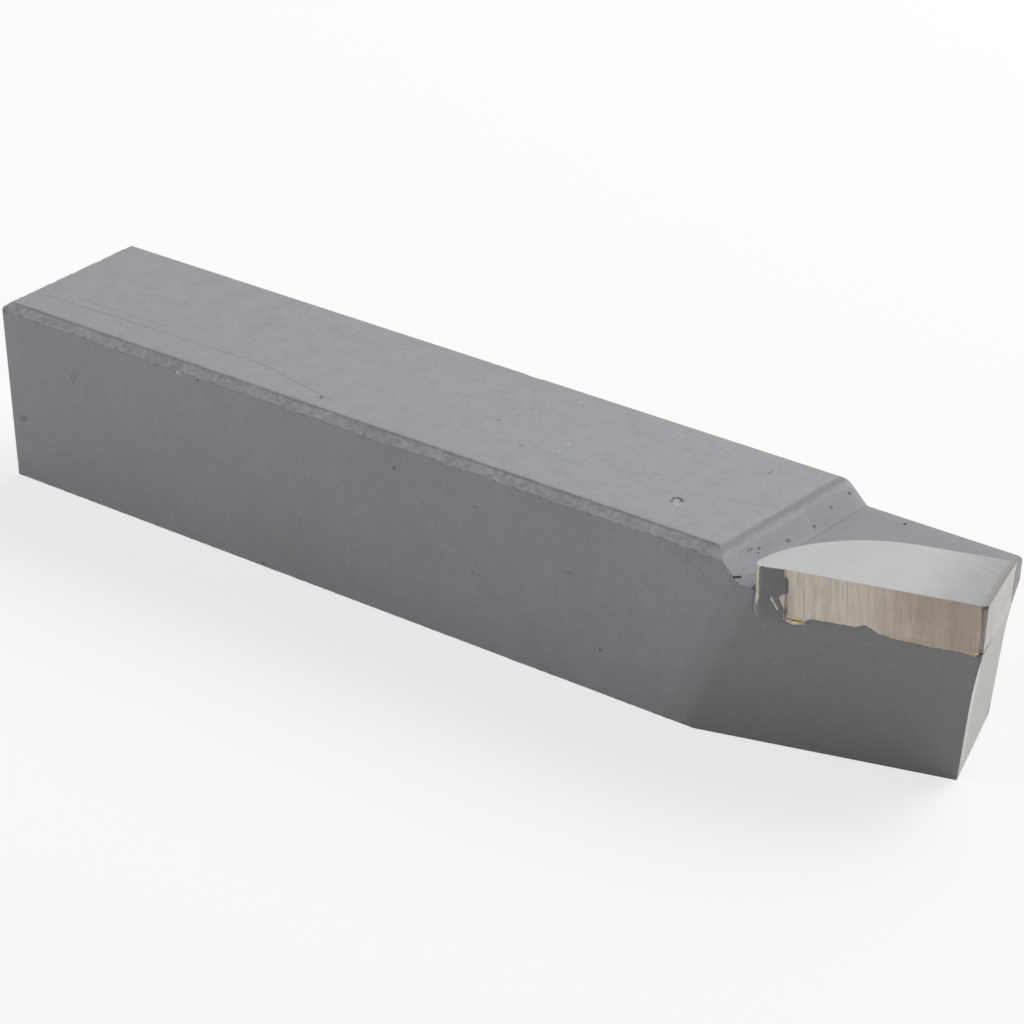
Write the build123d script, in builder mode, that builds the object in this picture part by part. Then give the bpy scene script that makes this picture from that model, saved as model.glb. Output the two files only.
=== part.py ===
from build123d import *
from math import cos, radians, sin, tan
import os

os.makedirs("parts", exist_ok=True)

# A left-hand turning tool with a carbide tip brazed into a milled seat on a square steel shank.
# Millimetres. X runs along the shank from its sawn rear end to the nose, the cutting side faces -Y,
# and the shank's base is Z = 0. The origin is the middle of the base.

# Shank
OVERALL_LENGTH = 114.5
SHANK_WIDTH = 19.05
SHANK_HEIGHT = 19.05
BASE_BACK_RADIUS = 1.2
TOP_BACK_RADIUS = 0.4
BASE_FRONT_RADIUS = 0.35
WORN_EDGE_ON_TOP = 1.44
WORN_EDGE_DOWN_FRONT = 0.55
REAR_LEAN = 0.9
REAR_BREAK = 0.3

# Milled ledge in front of the tip's seat, and the ramp up to the top of the shank
LEDGE_DROP = 2.3
RAMP_ANGLE = 45.0
RAMP_SKEW = 2.0
RAMP_BEHIND_TIP = 0.9
CREST_RADIUS = 2.5
FOOT_RADIUS = 0.6

# Carbide tip. Distances along its top start at the sharp nose, before the nose is broken.
NOSE_INSET = 5.8
TIP_LENGTH = 21.7
TIP_WIDTH_AT_NOSE = 11.11
TIP_THICKNESS = 4.76
TIP_BACK_SKEW = 1.8
TIP_BACK_STRAIGHT = 9.9
TIP_REAR_RADIUS = 0.85
SIDE_RAKE = 6.0
SIDE_ANGLE = 14.6
SIDE_RELIEF = 1.0
GROUND_LENGTH = 18.6
LAND_RISE = 0.45
NOSE_BREAK = 0.36

# Braze film under the tip and behind it
BRAZE_GAP = 0.15

# Grinding of the tip's end, and of the steel below it
END_ANGLE = 19.3
END_RELIEF = 5.0
HEEL_ANGLE = 20.1
HEEL_RELIEF = 8.3
HEEL_SETBACK = 1.67
HOLLOW_RADIUS = 49.0
HOLLOW_BELOW_JOINT = 6.2
FLANK_ANGLE = 15.3
FLANK_RELIEF = 7.0
FLANK_BEND_RADIUS = 5.0
BACK_CORNER_RADIUS = 0.9

# How far the wheel's arc is followed up from the heel, past where it leaves the steel
HOLLOW_SWEEP = 20.0
# Room that a cutter takes past the steel it cuts
CUTTER_OVERRUN = 2.0
# How near a side an edge's middle lies if it is on that side
POSITION_TOLERANCE = 0.01
# Largest share of the tip's rear land that the rounding of its rear corner takes
ROUNDED_LAND_SHARE = 0.5

half_width = SHANK_WIDTH / 2
joint_depth = TIP_THICKNESS + BRAZE_GAP
joint_height = SHANK_HEIGHT - joint_depth
ledge_height = SHANK_HEIGHT - LEDGE_DROP
rear_x = -OVERALL_LENGTH / 2
nose = Vector(
    OVERALL_LENGTH / 2 + NOSE_BREAK * sin(radians(END_ANGLE)),
    NOSE_INSET - half_width,
    SHANK_HEIGHT,
)


def plan_direction(angle):
    """Level unit vector, turned from +X towards +Y."""
    return Vector(cos(radians(angle)), sin(radians(angle)), 0)


def ground_plane(point, facing, relief):
    """Plane of a ground face whose outward side faces a level angle and undercuts by relief."""
    level = plan_direction(facing) * cos(radians(relief))
    return Plane(origin=point, z_dir=level - Vector(0, 0, sin(radians(relief))))


# The edge runs from the nose back along the cutting side, and the tip's top falls away from it.
edge_forward = plan_direction(SIDE_ANGLE)
edge_inward = plan_direction(SIDE_ANGLE + 90)
rake_normal = edge_inward * sin(radians(SIDE_RAKE)) + Vector(0, 0, cos(radians(SIDE_RAKE)))
rake_plane = Plane(origin=nose, x_dir=edge_forward, z_dir=rake_normal)

side_plane = ground_plane(nose, SIDE_ANGLE - 90, SIDE_RELIEF)
end_plane = ground_plane(nose, END_ANGLE, END_RELIEF)

# The steel flank is flush with the tip's ground side halfway along the joint.
joint_middle = (
    nose
    - edge_forward * (TIP_LENGTH / 2)
    + edge_inward * (joint_depth * tan(radians(SIDE_RELIEF)))
    - Vector(0, 0, joint_depth)
)
flank_plane = ground_plane(joint_middle, FLANK_ANGLE - 90, FLANK_RELIEF)

# The unground land at the tip's rear stands proud of the ground side, square to the raked top.
land_start = (-GROUND_LENGTH, 0)
rear_corner = (-TIP_LENGTH, -LAND_RISE)
land_plane = Plane(
    origin=rake_plane.from_local_coords(land_start),
    z_dir=rake_plane.x_dir * LAND_RISE - rake_plane.y_dir * (TIP_LENGTH - GROUND_LENGTH),
)

# The ramp's foot lies a little behind the tip's rear corner.
foot_x = rake_plane.from_local_coords(rear_corner).X - RAMP_BEHIND_TIP
crest_x = foot_x - LEDGE_DROP / tan(radians(RAMP_ANGLE))
front_x = OVERALL_LENGTH / 2 + CUTTER_OVERRUN

# Upright section along the shank's back side, turned so that the ramp's front end lies further back.
ledge_section_plane = Plane(
    origin=(0, half_width, 0),
    x_dir=plan_direction(-RAMP_SKEW),
    z_dir=plan_direction(-RAMP_SKEW - 90),
)

# The rear end is sawn, and its top edge reaches further back than its base.
rear_middle = Vector(rear_x, 0, SHANK_HEIGHT / 2)
rear_plane = ground_plane(rear_middle, 180, REAR_LEAN)

# Upright section across the end: local X points out of the end, local Y up from the base.
hollow_height = joint_height - HOLLOW_BELOW_JOINT
heel_section_plane = Plane(
    origin=(nose.X, nose.Y, 0),
    x_dir=plan_direction(HEEL_ANGLE),
    z_dir=plan_direction(HEEL_ANGLE - 90),
)


def heel_offset(height):
    """Where the heel's line lies at a height, measured outwards from the nose."""
    return -HEEL_SETBACK - (hollow_height - height) * tan(radians(HEEL_RELIEF))


def back_edge(x):
    """Distance of the tip's straight back edge from the cutting edge."""
    return TIP_WIDTH_AT_NOSE + x * tan(radians(TIP_BACK_SKEW))


# Outline of the tip in its raked top plane: nose at the local origin, rear towards -X.
with BuildSketch(rake_plane) as tip_outline:
    with BuildLine():
        side_line = Polyline((CUTTER_OVERRUN, 0), land_start, rear_corner)
        back_line = Line(
            (CUTTER_OVERRUN, back_edge(CUTTER_OVERRUN)),
            (-TIP_BACK_STRAIGHT, back_edge(-TIP_BACK_STRAIGHT)),
        )
        TangentArc(back_line @ 1, side_line @ 1, tangent=back_line % 1)
        Line(side_line @ 0, back_line @ 0)
    make_face()
    rear_rounding = min(TIP_REAR_RADIUS, ROUNDED_LAND_SHARE * (TIP_LENGTH - GROUND_LENGTH))
    fillet(tip_outline.vertices().sort_by(Axis.X)[0], rear_rounding)

# The seat is the tip's outline, larger by the braze all round, with its floor parallel to the rake.
with BuildPart() as seat_cutter:
    with BuildSketch(rake_plane.offset(-joint_depth)):
        add(tip_outline.sketch_local)
        offset(amount=BRAZE_GAP)
    extrude(amount=joint_depth + CUTTER_OVERRUN)

# Steel that the grinding leaves: the flank, the end with its hollow, and its rounded corners.
with BuildPart() as ground_form:
    with Locations((0, 0, SHANK_HEIGHT / 2)):
        Box(
            OVERALL_LENGTH + 2 * CUTTER_OVERRUN,
            SHANK_WIDTH,
            SHANK_HEIGHT + 2 * CUTTER_OVERRUN,
        )
    split(bisect_by=flank_plane, keep=Keep.BOTTOM)
    split(bisect_by=end_plane, keep=Keep.BOTTOM)

    # Below the joint a wheel hollows the steel, and the heel runs on from the hollow to the base.
    with BuildSketch(heel_section_plane):
        with BuildLine():
            heel_line = Line(
                (heel_offset(-CUTTER_OVERRUN), -CUTTER_OVERRUN),
                (heel_offset(hollow_height), hollow_height),
            )
            hollow_arc = JernArc(heel_line @ 1, heel_line % 1, HOLLOW_RADIUS, -HOLLOW_SWEEP)
            Polyline(
                hollow_arc @ 1,
                (SHANK_WIDTH, (hollow_arc @ 1).Y),
                (SHANK_WIDTH, -CUTTER_OVERRUN),
                heel_line @ 0,
            )
        make_face()
    extrude(amount=SHANK_WIDTH, both=True, mode=Mode.SUBTRACT)

    # Of the edges that climb, those at the front side are the bend into the flank, and those at
    # the back side are the end's back corner.
    climbing = ground_form.edges().filter_by(lambda edge: abs((edge % 0.5).Z) > 0.5)
    climbing = climbing.filter_by(lambda edge: edge.center().X > 0)
    bend_edges = climbing.filter_by(lambda edge: edge.center().Y < -half_width + POSITION_TOLERANCE)
    back_edges = climbing.filter_by(lambda edge: edge.center().Y > half_width - POSITION_TOLERANCE)
    fillet(bend_edges, FLANK_BEND_RADIUS)
    fillet(back_edges, BACK_CORNER_RADIUS)

# Shank before its seat is milled: a rolled square bar, one top edge worn down to a bevel.
with BuildPart() as shank_form:
    with BuildSketch(Plane.YZ.offset(rear_x - CUTTER_OVERRUN)) as bar_section:
        with BuildLine():
            Polyline(
                (-half_width, 0),
                (half_width, 0),
                (half_width, SHANK_HEIGHT),
                (-half_width + WORN_EDGE_ON_TOP, SHANK_HEIGHT),
                (-half_width, SHANK_HEIGHT - WORN_EDGE_DOWN_FRONT),
                close=True,
            )
        make_face()
        base_corners = bar_section.vertices().group_by(Axis.Y)[0].sort_by(Axis.X)
        fillet(base_corners[0], BASE_FRONT_RADIUS)
        base_corners = bar_section.vertices().group_by(Axis.Y)[0].sort_by(Axis.X)
        fillet(base_corners[-1], BASE_BACK_RADIUS)
        top_corners = bar_section.vertices().group_by(Axis.Y)[-1].sort_by(Axis.X)
        fillet(top_corners[-1], TOP_BACK_RADIUS)
    extrude(amount=OVERALL_LENGTH + 2 * CUTTER_OVERRUN)
    split(bisect_by=rear_plane, keep=Keep.BOTTOM)
    chamfer(shank_form.faces().sort_by(Axis.X)[0].edges(), REAR_BREAK)
    with BuildSketch(ledge_section_plane) as ledge_cut:
        with BuildLine():
            Polyline(
                (crest_x - CREST_RADIUS, SHANK_HEIGHT),
                (crest_x, SHANK_HEIGHT),
                (foot_x, ledge_height),
                (front_x, ledge_height),
                (front_x, SHANK_HEIGHT + CUTTER_OVERRUN),
                (crest_x - CREST_RADIUS, SHANK_HEIGHT + CUTTER_OVERRUN),
                close=True,
            )
        make_face()
        fillet(ledge_cut.vertices().sort_by_distance((crest_x, SHANK_HEIGHT))[0], CREST_RADIUS)
        fillet(ledge_cut.vertices().sort_by_distance((foot_x, ledge_height))[0], FOOT_RADIUS)
    extrude(amount=SHANK_WIDTH + CUTTER_OVERRUN, both=True, mode=Mode.SUBTRACT)
    add(ground_form.part, mode=Mode.INTERSECT)

with BuildPart() as shank:
    add(shank_form.part)
    add(seat_cutter.part, mode=Mode.SUBTRACT)

# Tip before it is ground: a pressed blank with one outline all the way down.
with BuildPart() as tip_blank:
    extrude(tip_outline.sketch, amount=-TIP_THICKNESS)

with BuildPart() as carbide_tip:
    add(tip_blank.part)
    with BuildSketch(Plane(origin=nose, x_dir=edge_forward, z_dir=side_plane.z_dir)):
        with Locations((-GROUND_LENGTH, CUTTER_OVERRUN)):
            Rectangle(
                GROUND_LENGTH + 2 * CUTTER_OVERRUN,
                TIP_THICKNESS + 2 * CUTTER_OVERRUN,
                align=(Align.MIN, Align.MAX),
            )
    extrude(amount=CUTTER_OVERRUN, mode=Mode.SUBTRACT)
    split(bisect_by=end_plane, keep=Keep.BOTTOM)
    nose_edge = carbide_tip.edges().filter_by(lambda edge: abs((edge % 0.5).Z) > 0.5).sort_by(Axis.X)[-1]
    chamfer(nose_edge, NOSE_BREAK)

# Braze fills what the seat leaves round the tip, and is ground off flush with the side.
with BuildPart() as braze_joint:
    add(seat_cutter.part)
    add(shank_form.part, mode=Mode.INTERSECT)
    add(tip_blank.part, mode=Mode.SUBTRACT)
    split(bisect_by=side_plane, keep=Keep.BOTTOM)
    split(bisect_by=land_plane, keep=Keep.BOTTOM)

shank.part.label = "shank"
carbide_tip.part.label = "carbide_tip"
braze_joint.part.label = "braze_joint"

export_step(shank.part, "parts/shank.step")
export_step(carbide_tip.part, "parts/carbide_tip.step")
export_step(braze_joint.part, "parts/braze_joint.step")
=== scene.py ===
import math

import bmesh
import bpy
from mathutils import Matrix, Vector, noise
from mathutils.bvhtree import BVHTree
from mathutils.kdtree import KDTree

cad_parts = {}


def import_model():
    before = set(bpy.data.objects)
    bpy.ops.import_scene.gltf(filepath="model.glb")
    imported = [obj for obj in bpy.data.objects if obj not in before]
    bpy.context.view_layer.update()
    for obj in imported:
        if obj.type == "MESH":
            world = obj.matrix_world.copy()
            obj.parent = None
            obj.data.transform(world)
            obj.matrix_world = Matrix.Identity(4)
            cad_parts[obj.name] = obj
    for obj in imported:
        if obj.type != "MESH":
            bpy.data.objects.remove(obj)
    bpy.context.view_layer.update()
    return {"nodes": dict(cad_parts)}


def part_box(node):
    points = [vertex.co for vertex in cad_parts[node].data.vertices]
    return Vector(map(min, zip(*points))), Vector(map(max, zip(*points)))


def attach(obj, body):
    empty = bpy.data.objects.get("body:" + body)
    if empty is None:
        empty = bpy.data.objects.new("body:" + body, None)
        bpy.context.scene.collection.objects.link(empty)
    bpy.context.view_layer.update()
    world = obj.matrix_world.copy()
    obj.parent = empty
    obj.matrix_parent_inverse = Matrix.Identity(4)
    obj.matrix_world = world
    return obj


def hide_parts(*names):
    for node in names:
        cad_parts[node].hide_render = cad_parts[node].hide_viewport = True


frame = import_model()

MM = 0.001

# The section and the main heights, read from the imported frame.
SHANK_LOW, SHANK_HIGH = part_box("shank")
REAR_X = SHANK_LOW.x
FRONT_Y = SHANK_LOW.y
BACK_Y = SHANK_HIGH.y
TOP_Z = SHANK_HIGH.z
LEDGE_Z = TOP_Z - 2.3 * MM

# The carbide tip's sharp nose, and the ground faces that meet there, as the CAD has them.
NOSE = Vector((57.369 * MM, FRONT_Y + 5.8 * MM, TOP_Z))
SIDE_ANGLE = math.radians(14.6)
END_ANGLE = math.radians(19.3)
END_RELIEF = math.radians(5.0)
SIDE_RAKE = math.radians(6.0)
JOINT_DEPTH = 4.91 * MM
EDGE_FORWARD = Vector((math.cos(SIDE_ANGLE), math.sin(SIDE_ANGLE), 0))
EDGE_INWARD = Vector((-math.sin(SIDE_ANGLE), math.cos(SIDE_ANGLE), 0))
RAKE_NORMAL = EDGE_INWARD * math.sin(SIDE_RAKE) + Vector((0, 0, math.cos(SIDE_RAKE)))
END_NORMAL = Vector((
    math.cos(END_ANGLE) * math.cos(END_RELIEF),
    math.sin(END_ANGLE) * math.cos(END_RELIEF),
    -math.sin(END_RELIEF),
))
FLANK_POINT = NOSE - EDGE_FORWARD * 10.85 * MM - Vector((0, 0, JOINT_DEPTH))
FLANK_FACING = math.radians(15.3 - 90)
FLANK_RELIEF = math.radians(7.0)
FLANK_NORMAL = Vector((
    math.cos(FLANK_FACING) * math.cos(FLANK_RELIEF),
    math.sin(FLANK_FACING) * math.cos(FLANK_RELIEF),
    -math.sin(FLANK_RELIEF),
))

# The worn top edge on the cutting side: how far it reaches onto the top and down the front.
WORN_ON_TOP = 1.44 * MM
WORN_DOWN = 0.55 * MM
WORN_LEAST = 0.27 * MM
WORN_MOST = 0.80 * MM
WORN_FADES_FROM = 31.0 * MM
WORN_ENDS_AT = 32.2 * MM
WORN_SINK = 0.035 * MM
STRIP_ON_TOP = 2.3 * MM
STRIP_DOWN = 1.5 * MM

# The spacing of the section cuts that give the shank its dense surface.
CUT_ALONG = 0.45 * MM
CUT_ACROSS = 1.2 * MM
CUT_UP = 1.27 * MM
CUTS_NEAR_FRONT_EDGE = (0.18, 0.36, 0.6, 0.84, 1.08, 1.2, 1.33, 1.8, 2.3)
CUTS_UNDER_TOP = (0.8, 1.1, 1.5)
EDGE_BREAK = 0.09 * MM


def cad_copy(node):
    """A new mesh with a CAD node's shape, with the split corners joined and flat areas merged."""
    bm = bmesh.new()
    bm.from_mesh(frame["nodes"][node].data)
    bmesh.ops.remove_doubles(bm, verts=bm.verts, dist=0.0005 * MM)
    bmesh.ops.dissolve_limit(bm, angle_limit=math.radians(0.15), verts=bm.verts, edges=bm.edges)
    return bm


def break_edges(bm, width, least_angle):
    """Bevels the sharp outward edges a little, as a paint film or a hone does."""
    sharp = []
    for edge in bm.edges:
        if len(edge.link_faces) != 2 or not edge.is_convex:
            continue
        if edge.calc_face_angle(0.0) >= math.radians(least_angle):
            sharp.append(edge)
    bmesh.ops.bevel(
        bm, geom=sharp, offset=width, offset_type="OFFSET", segments=2, profile=0.5,
        affect="EDGES", clamp_overlap=True,
    )


def cut(bm, point, normal, beyond_x=None):
    """Divides the faces along a plane, all of them or those beyond a place along the shank."""
    faces = bm.faces[:]
    if beyond_x is not None:
        faces = [face for face in faces if face.calc_center_median().x > beyond_x]
    edges = {edge for face in faces for edge in face.edges}
    verts = {vert for face in faces for vert in face.verts}
    bmesh.ops.bisect_plane(
        bm, geom=[*verts, *edges, *faces], dist=0.0005 * MM, plane_co=point, plane_no=normal,
    )


def finish_mesh(bm, name, sharp_angle, materials):
    mesh = bpy.data.meshes.new(name)
    bm.to_mesh(mesh)
    bm.free()
    for polygon in mesh.polygons:
        polygon.use_smooth = True
    mesh.set_sharp_from_angle(angle=math.radians(sharp_angle))
    for material in materials:
        mesh.materials.append(material)
    piece = bpy.data.objects.new(name, mesh)
    bpy.context.scene.collection.objects.link(piece)
    return piece


class Graph:
    """A material under construction: nodes are added with their inputs, and linked by passing sockets."""

    def __init__(self, name):
        self.material = bpy.data.materials.new(name)
        self.material.use_nodes = True
        self.tree = self.material.node_tree
        self.tree.nodes.clear()
        self.column = 0

    def add(self, kind, inputs=None, **settings):
        node = self.tree.nodes.new(kind)
        node.location = (self.column * 190, -60 * (self.column % 5))
        self.column += 1
        for key, value in settings.items():
            setattr(node, key, value)
        for key, value in (inputs or {}).items():
            socket = node.inputs[key]
            if isinstance(value, bpy.types.NodeSocket):
                self.tree.links.new(value, socket)
            else:
                socket.default_value = value
        return node

    def place(self):
        return self.add("ShaderNodeTexCoord").outputs["Object"]

    def math(self, operation, a, b=0.0, clamp=False):
        return self.add("ShaderNodeMath", {0: a, 1: b}, operation=operation, use_clamp=clamp).outputs[0]

    def remap(self, value, low, high, to_low=0.0, to_high=1.0, smooth=False):
        node = self.add(
            "ShaderNodeMapRange",
            {"Value": value, "From Min": low, "From Max": high, "To Min": to_low, "To Max": to_high},
            interpolation_type="SMOOTHSTEP" if smooth else "LINEAR",
        )
        return node.outputs["Result"]

    def mix(self, factor, a, b, blend="MIX"):
        node = self.add("ShaderNodeMix", data_type="RGBA", blend_type=blend)
        for socket, value in zip((node.inputs[0], node.inputs[6], node.inputs[7]), (factor, a, b)):
            if isinstance(value, bpy.types.NodeSocket):
                self.tree.links.new(value, socket)
            else:
                socket.default_value = value
        return node.outputs[2]

    def noise(self, vector, scale, detail=3.0, roughness=0.5):
        node = self.add(
            "ShaderNodeTexNoise",
            {"Vector": vector, "Scale": scale, "Detail": detail, "Roughness": roughness},
        )
        return node.outputs["Fac"]

    def stretched(self, vector, scale):
        return self.add("ShaderNodeVectorMath", {0: vector, 1: scale}, operation="MULTIPLY").outputs[0]

    def reach(self, place, point, direction):
        """How many millimetres a place lies past a point, in a direction."""
        along = self.add("ShaderNodeVectorMath", {0: place, 1: direction}, operation="DOT_PRODUCT")
        past = self.math("SUBTRACT", along.outputs["Value"], point.dot(direction))
        return self.math("DIVIDE", past, MM)

    def attribute(self, name):
        return self.add("ShaderNodeAttribute", attribute_name=name).outputs["Fac"]

    def bump(self, height, distance, strength=1.0):
        return self.add(
            "ShaderNodeBump", {"Height": height, "Distance": distance, "Strength": strength},
        ).outputs["Normal"]

    def surface(self, **inputs):
        shader = self.add("ShaderNodeBsdfPrincipled", inputs)
        self.add("ShaderNodeOutputMaterial", {"Surface": shader.outputs[0]})
        return self.material


def srgb(*levels):
    """Display levels 0 to 255 as linear colour."""
    linear = []
    for level in levels:
        share = level / 255
        linear.append(share / 12.92 if share <= 0.04045 else ((share + 0.055) / 1.055) ** 2.4)
    return (*linear, 1.0)


def with_marks(g, base):
    """Lays the colours of pits, bare spots and chipped paint over a base colour."""
    base = g.mix(g.attribute("pit"), base, srgb(66, 64, 63))
    base = g.mix(g.attribute("bare"), base, srgb(214, 212, 208))
    return g.mix(g.attribute("chip"), base, srgb(172, 170, 166))


def speck(g, place, scale, size):
    """Small round spots, scattered at random, about one in three cells."""
    cells = g.add("ShaderNodeTexVoronoi", {"Vector": place, "Scale": scale})
    chosen = g.math("GREATER_THAN", g.add("ShaderNodeSeparateColor", {0: cells.outputs["Color"]}).outputs[0], 0.66)
    return g.math("MULTIPLY", chosen, g.remap(cells.outputs["Distance"], size, 0.5 * size, smooth=True))


def paint(name="grey_paint_and_painted_light", tone=0.0):
    """Grey paint with painted light set by facing: a painted highlight on the milled ramp, lighter and bluer painted
    light on upward faces, painted shade at the start of the crest and on the ground flank, and darker on the ledge.
    """
    g = Graph(name)
    place = g.place()
    cloud = g.noise(place, 70.0, 4.0, 0.55)
    blotch = g.noise(place, 420.0, 4.0, 0.6)
    grain = g.noise(place, 2300.0, 3.0, 0.65)
    base = g.mix(g.remap(cloud, 0.3, 0.7), srgb(147, 149, 153), srgb(156, 158, 163))
    facing = g.add("ShaderNodeSeparateXYZ", {0: g.add("ShaderNodeNewGeometry").outputs["Normal"]})
    upward = g.remap(facing.outputs["Z"], 0.45, 0.6)
    ramp = g.math("MULTIPLY", upward, g.remap(facing.outputs["X"], 0.3, 0.6, smooth=True))
    # Upward faces lighter and bluer: painted light from above.
    base = g.mix(g.remap(facing.outputs["Z"], 0.9, 0.98), base, srgb(157, 159, 163))
    # The start of the crest darker: painted shade against its highlight.
    crest = g.math("MULTIPLY", upward, g.remap(facing.outputs["X"], 0.06, 0.25, smooth=True))
    base = g.mix(crest, base, srgb(136, 138, 142))
    # The ramp lighter: a painted highlight of light from the right.
    base = g.mix(ramp, base, srgb(168, 170, 175))
    under = g.reach(place, Vector((0, 0, LEDGE_Z + 0.55 * MM)), Vector((0, 0, -1)))
    ledge = g.math("MULTIPLY", g.remap(facing.outputs["Z"], 0.8, 0.95), g.remap(under, 0.0, 0.3))
    base = g.mix(ledge, base, srgb(142, 144, 148))
    # The ground flank darker, more so towards the nose: painted shade.
    off_flank = g.math("ABSOLUTE", g.reach(place, FLANK_POINT, FLANK_NORMAL))
    on_flank = g.math("MULTIPLY", g.remap(off_flank, 0.9, 0.6), g.remap(facing.outputs["Y"], -0.5, -0.8))
    forward = g.remap(g.reach(place, NOSE, EDGE_FORWARD), -24.0, 0.0, 0.35, 0.95)
    base = g.mix(g.math("MULTIPLY", on_flank, forward), base, srgb(131, 132, 135))
    if tone:
        on_tip = g.remap(g.reach(place, NOSE, EDGE_FORWARD), -21.35, -21.2)
        above = g.remap(g.reach(place, Vector((0, 0, 0)), Vector((0, 0, 1))), 14.3, 15.4)
        tone = g.math("MULTIPLY", g.math("MULTIPLY", on_tip, above), tone)
        base = g.mix(tone, base, srgb(122, 121, 120))
    base = g.mix(g.remap(blotch, 0.35, 0.72, 0.0, 0.4), base, srgb(140, 141, 145))
    base = g.mix(g.remap(grain, 0.48, 0.8, 0.0, 0.22), base, srgb(112, 112, 115))
    base = g.mix(g.remap(grain, 0.45, 0.25, 0.0, 0.14), base, srgb(186, 187, 190))
    base = g.mix(g.math("MULTIPLY", speck(g, place, 170.0, 0.045), 0.4), base, srgb(84, 80, 78))
    base = g.mix(g.math("MULTIPLY", speck(g, place, 200.0, 0.035), 0.28), base, srgb(205, 203, 200))
    base = with_marks(g, base)
    height = g.math("ADD", grain, g.math("MULTIPLY", blotch, 2.0))
    rougher = g.math("MULTIPLY", crest, 0.2)
    return g.surface(**{
        "Base Color": base, "Roughness": g.math("ADD", g.remap(cloud, 0.2, 0.8, 0.54, 0.64), rougher),
        "Normal": g.bump(height, 0.006 * MM, 0.7),
    })


# Worn paint on the top edge, a little darker overall as painted shade, with painted shade under its upper line and
# along its lower line.
def worn_paint_and_shade():
    g = Graph("worn_edge_and_painted_shade")
    place = g.place()
    mottle = g.noise(place, 1900.0, 4.0, 0.7)
    patches = g.noise(place, 330.0, 3.0, 0.6)
    down = g.attribute("worn")
    base = g.mix(g.remap(mottle, 0.35, 0.65), srgb(128, 129, 133), srgb(156, 157, 162))
    base = g.mix(g.remap(patches, 0.45, 0.7, 0.0, 0.6), base, srgb(150, 151, 156))
    # Painted shade just under the band's upper line.
    upper = g.remap(down, 0.24, 0.04, smooth=True)
    base = g.mix(g.math("MULTIPLY", upper, 0.45), base, srgb(116, 117, 121))
    # Painted shade along the band's lower line.
    lower = g.remap(down, 0.9, 0.985, smooth=True)
    base = g.mix(g.math("MULTIPLY", lower, 0.35), base, srgb(104, 104, 108))
    base = with_marks(g, base)
    return g.surface(**{
        "Base Color": base, "Roughness": g.remap(mottle, 0.3, 0.7, 0.5, 0.68),
        "Normal": g.bump(mottle, 0.035 * MM, 0.9),
    })


def bare_steel():
    g = Graph("ground_steel_end")
    place = g.place()
    cloud = g.noise(place, 420.0, 3.0, 0.5)
    lines = g.noise(g.stretched(place, (700.0, 700.0, 3200.0)), 1.0, 3.0, 0.6)
    base = g.mix(g.remap(cloud, 0.3, 0.7), srgb(178, 177, 175), srgb(194, 193, 191))
    base = g.mix(g.remap(lines, 0.4, 0.75, 0.0, 0.4), base, srgb(204, 203, 200))
    # A lighter strip along the flank corner, widening downwards and lightest at its top: a painted highlight standing
    # in for a narrow facet there.
    inward = g.math("MULTIPLY", g.reach(place, FLANK_POINT, FLANK_NORMAL), -1.0)
    below = g.reach(place, NOSE - Vector((0, 0, JOINT_DEPTH)), Vector((0, 0, -1)))
    width = g.remap(below, 0.0, 3.5, 0.0, 1.8, smooth=True)
    land = g.remap(g.math("SUBTRACT", width, inward), -0.15, 0.15, smooth=True)
    base = g.mix(land, base, g.mix(g.remap(below, 0.0, 14.0), srgb(222, 221, 218), srgb(196, 195, 192)))
    base = with_marks(g, base)
    return g.surface(**{
        "Base Color": base, "Metallic": 0.3, "Roughness": g.remap(cloud, 0.3, 0.7, 0.42, 0.56),
        "Normal": g.bump(lines, 0.012 * MM, 0.8),
    })


def carbide_top():
    g = Graph("carbide_top")
    place = g.place()
    forward = g.reach(place, NOSE, EDGE_FORWARD)
    cloud = g.noise(place, 200.0, 3.0, 0.5)
    lines = g.noise(g.stretched(place, (420.0, 2600.0, 420.0)), 1.0, 3.0, 0.6)
    # Lighter at the rear and darker towards the nose: painted reflection.
    base = g.mix(g.remap(forward, -9.0, 0.5, smooth=True), srgb(189, 189, 189), srgb(148, 149, 151))
    base = g.mix(g.remap(cloud, 0.35, 0.7, 0.0, 0.4), base, srgb(172, 173, 176))
    base = g.mix(g.remap(lines, 0.4, 0.8, 0.0, 0.35), base, srgb(206, 206, 206))
    edge = g.remap(g.reach(place, NOSE, END_NORMAL), -1.0, -0.1, smooth=True)
    base = g.mix(g.math("MULTIPLY", edge, 0.7), base, srgb(140, 133, 127))
    return g.surface(**{
        "Base Color": base, "Metallic": 0.12, "Roughness": g.remap(lines, 0.3, 0.7, 0.48, 0.6),
        "Normal": g.bump(lines, 0.006 * MM, 0.5),
    })


def ground_side(g, place):
    """The colour and height of the tip's ground side: a beige tint and a darkening towards the nose that are painted
    reflection, with fine upright lines.
    """
    forward = g.reach(place, NOSE, EDGE_FORWARD)
    fine = g.noise(g.stretched(place, (7000.0, 7000.0, 420.0)), 1.0, 3.0, 0.6)
    broad = g.noise(g.stretched(place, (1800.0, 1800.0, 140.0)), 1.0, 3.0, 0.6)
    cloud = g.noise(place, 500.0, 3.0, 0.6)
    # Painted reflection: beige, lighter at the rear and darker towards the nose.
    base = g.mix(g.remap(forward, -13.5, -4.0, smooth=True), srgb(216, 205, 193), srgb(177, 164, 152))
    base = g.mix(g.remap(broad, 0.42, 0.7, 0.0, 0.3), base, srgb(150, 137, 124))
    base = g.mix(g.remap(fine, 0.5, 0.8, 0.0, 0.45), base, srgb(120, 108, 97))
    base = g.mix(g.remap(cloud, 0.5, 0.3, 0.0, 0.2), base, srgb(226, 216, 206))
    return base, fine, broad


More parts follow.
